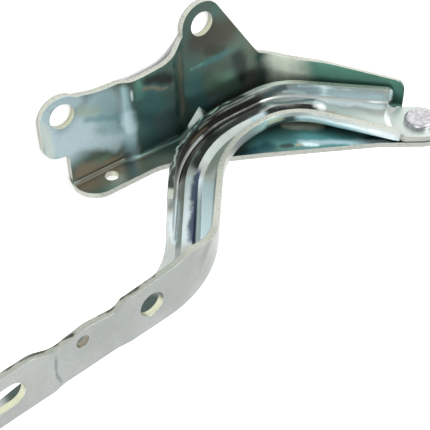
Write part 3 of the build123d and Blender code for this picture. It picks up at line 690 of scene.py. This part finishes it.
def turned_steel(name, shade, worn_shade, roughness):
    """Plain steel of a cold headed rivet or a turned bush, mottled where the tool burnished it."""
    material, tree = new_tree(name)
    coords = add(tree, "ShaderNodeTexCoord").outputs["Object"]
    spots = add(
        tree,
        "ShaderNodeTexNoise",
        {"Vector": coords, "Scale": 1 / SPOT_SIZE, "Detail": 4.0, "Distortion": 0.6},
    )
    patches = add(
        tree,
        "ShaderNodeMapRange",
        {"Value": spots.outputs["Fac"], "From Min": 0.4, "From Max": 0.65},
    )
    worn = add(
        tree,
        "ShaderNodeMix",
        {"Factor": patches.outputs[0], 6: solid(shade), 7: solid(worn_shade)},
        data_type="RGBA",
    )
    rounded = add(tree, "ShaderNodeBevel", {"Radius": 0.3 * MM}, samples=4)
    bump = add(
        tree,
        "ShaderNodeBump",
        {"Strength": 0.2, "Distance": 0.05 * MM, "Height": spots.outputs["Fac"],
         "Normal": rounded.outputs[0]},
    )
    shader = add(
        tree,
        "ShaderNodeBsdfPrincipled",
        {"Base Color": worn.outputs[2], "Metallic": 0.9, "Roughness": roughness, "Normal": bump.outputs[0]},
    )
    add(tree, "ShaderNodeOutputMaterial", {"Surface": shader.outputs[0]})
    return material


def dress(node, material):
    """Gives a CAD node one material."""
    slots = frame["nodes"][node].material_slots
    if not slots:
        raise RuntimeError(f"{node} has no material slot")
    for slot in slots:
        slot.material = material


class HINGE_OT_finish_bracket(bpy.types.Operator):
    """Give the body bracket its dark, clouded plating and the highlights, reflections and shade painted on it
    """
    bl_idname = "hinge.finish_bracket"
    bl_label = "Finish Body Bracket"

    def execute(self, context):
        finish = context.scene.hinge_finish
        pivot = frame["joints"][0]["pos_m"][1]
        material = plated_steel_and_painted_light("zinc_passivated_bracket", finish, (finish.teal, finish.olive),
                                BRACKET_PATCHES, BRACKET_EDGE_FILMS,
                                web_window(pivot - SHEET), pivot + BRACKET_WALLS)
        dress("body_bracket", material)
        return {"FINISHED"}


class HINGE_OT_finish_arm(bpy.types.Operator):
    """Give the hood arm its clear silver plating and the reflections, highlights and shade painted on it"""
    bl_idname = "hinge.finish_arm"
    bl_label = "Finish Hood Arm"

    def execute(self, context):
        finish = context.scene.hinge_finish
        pivot = frame["joints"][0]["pos_m"][1]
        material = plated_steel_and_painted_light("zinc_clear_arm", finish, (finish.silver, finish.silver_shade),
                                ARM_PATCHES, ARM_EDGE_PATCHES,
                                web_window(pivot + ARM_GAP), pivot + ARM_WALLS)
        dress("hood_arm", material)
        return {"FINISHED"}


class HINGE_OT_finish_pivot(bpy.types.Operator):
    """Give the rivet its bare steel and the bush its bronze"""
    bl_idname = "hinge.finish_pivot"
    bl_label = "Finish Pivot"

    def execute(self, context):
        dress("pivot_rivet", turned_steel("headed_rivet_steel", linear("#BFBDC1"), linear("#96959A"), 0.3))
        dress("pivot_bush", turned_steel("sintered_bronze", linear("#8F7347"), linear("#6B5536"), 0.45))
        return {"FINISHED"}


# The studio, in metres and watts
FLOOR_LEVEL = -0.3 * MM            # just under the bracket's bolt pads
FLOOR_GLOW = 0.12                  # added to the paper for the camera alone
SKY_LIGHT = 0.95
LAMP_TARGET = (-0.03, -0.03, 0.05)  # near the middle of the hinge
KEY_LAMP = {"place": (0.5, 0.5, 0.9), "size": (0.6, 0.6), "power": 9}
FILL_LAMP = {"place": (-0.9, -0.2, 0.6), "size": (0.8, 0.5), "power": 5}
PICTURE_WIDTH = 36                 # millimetres
VIEW_NEAR, VIEW_FAR = 0.01, 50


def soft_box(name, target, place, size, power):
    """An area lamp that looks at a target."""
    lamp = bpy.data.lights.new(name, "AREA")
    lamp.shape = "RECTANGLE"
    lamp.size, lamp.size_y = size
    lamp.energy = power
    light = bpy.data.objects.new(name, lamp)
    bpy.context.scene.collection.objects.link(light)
    light.location = place
    light.rotation_mode = "QUATERNION"
    light.rotation_quaternion = (Vector(target) - Vector(place)).to_track_quat("-Z", "Y")


class HINGE_OT_add_stage(bpy.types.Operator):
    """Add the pale floor, the soft lights and the camera"""
    bl_idname = "hinge.add_stage"
    bl_label = "Add Stage"

    def execute(self, context):
        scene = context.scene
        studio = scene.hinge_studio
        half = studio.floor_width / 2
        square = [(-half, -half), (half, -half), (half, half), (-half, half)]
        corners = [(x, y, FLOOR_LEVEL) for x, y in square]
        mesh = bpy.data.meshes.new("studio_floor")
        mesh.from_pydata(corners, [], [(0, 1, 2, 3)])
        floor = bpy.data.objects.new("studio_floor", mesh)
        scene.collection.objects.link(floor)
        material, tree = new_tree("matt_white_paper")
        paper = add(
            tree,
            "ShaderNodeBsdfPrincipled",
            {"Base Color": solid(studio.floor_colour), "Roughness": 0.9},
        )
        seen = add(tree, "ShaderNodeLightPath").outputs["Is Camera Ray"]
        glow = add(tree, "ShaderNodeEmission", {"Color": (1, 1, 1, 1), "Strength": FLOOR_GLOW})
        dark = add(tree, "ShaderNodeEmission", {"Color": (0, 0, 0, 1), "Strength": 0.0})
        lift = add(tree, "ShaderNodeMixShader", {0: seen, 1: dark.outputs[0], 2: glow.outputs[0]})
        both = add(tree, "ShaderNodeAddShader", {0: paper.outputs[0], 1: lift.outputs[0]})
        add(tree, "ShaderNodeOutputMaterial", {"Surface": both.outputs[0]})
        mesh.materials.append(material)

        world = bpy.data.worlds.new("studio_air")
        world.use_nodes = True
        scene.world = world
        air = world.node_tree
        air.nodes.clear()
        sky = add(air, "ShaderNodeBackground", {"Color": (1, 1, 1, 1), "Strength": SKY_LIGHT})
        white = add(air, "ShaderNodeBackground", {"Color": (1, 1, 1, 1), "Strength": 1.0})
        camera_ray = add(air, "ShaderNodeLightPath").outputs["Is Camera Ray"]
        chosen = add(air, "ShaderNodeMixShader", {0: camera_ray, 1: sky.outputs[0], 2: white.outputs[0]})
        add(air, "ShaderNodeOutputWorld", {"Surface": chosen.outputs[0]})

        soft_box("key_softbox", LAMP_TARGET, **KEY_LAMP)
        soft_box("fill_softbox", LAMP_TARGET, **FILL_LAMP)

        lens = bpy.data.cameras.new("photo_camera")
        lens.lens = studio.lens
        lens.sensor_width = PICTURE_WIDTH
        lens.clip_start, lens.clip_end = VIEW_NEAR, VIEW_FAR
        camera = bpy.data.objects.new("photo_camera", lens)
        scene.collection.objects.link(camera)
        camera.location = studio.camera_place
        camera.rotation_euler = studio.camera_turn
        scene.camera = camera
        scene.view_settings.view_transform = "Standard"
        return {"FINISHED"}


class HINGE_PT_panel(bpy.types.Panel):
    """Lists the finishes and the stage"""
    bl_idname = "HINGE_PT_panel"
    bl_label = "Hood Hinge"
    bl_space_type = "VIEW_3D"
    bl_region_type = "UI"
    bl_category = "Hood Hinge"

    def draw(self, context):
        for group in (context.scene.hinge_finish, context.scene.hinge_studio):
            for name in group.__annotations__:
                self.layout.prop(group, name)
        for operator in OPERATORS:
            self.layout.operator(operator.bl_idname)


OPERATORS = (
    HINGE_OT_finish_bracket,
    HINGE_OT_finish_arm,
    HINGE_OT_finish_pivot,
    HINGE_OT_add_stage,
)
CLASSES = (HingeFinish, HingeStudio, *OPERATORS, HINGE_PT_panel)


def register():
    for cls in CLASSES:
        bpy.utils.register_class(cls)
    bpy.types.Scene.hinge_finish = PointerProperty(type=HingeFinish)
    bpy.types.Scene.hinge_studio = PointerProperty(type=HingeStudio)


def unregister():
    del bpy.types.Scene.hinge_studio
    del bpy.types.Scene.hinge_finish
    for cls in reversed(CLASSES):
        bpy.utils.unregister_class(cls)


def main():
    """Registers the add-on and makes every piece's finish and the stage."""
    register()
    bpy.ops.hinge.finish_bracket()
    bpy.ops.hinge.finish_arm()
    bpy.ops.hinge.finish_pivot()
    bpy.ops.hinge.add_stage()


if __name__ == "__main__":
    main()
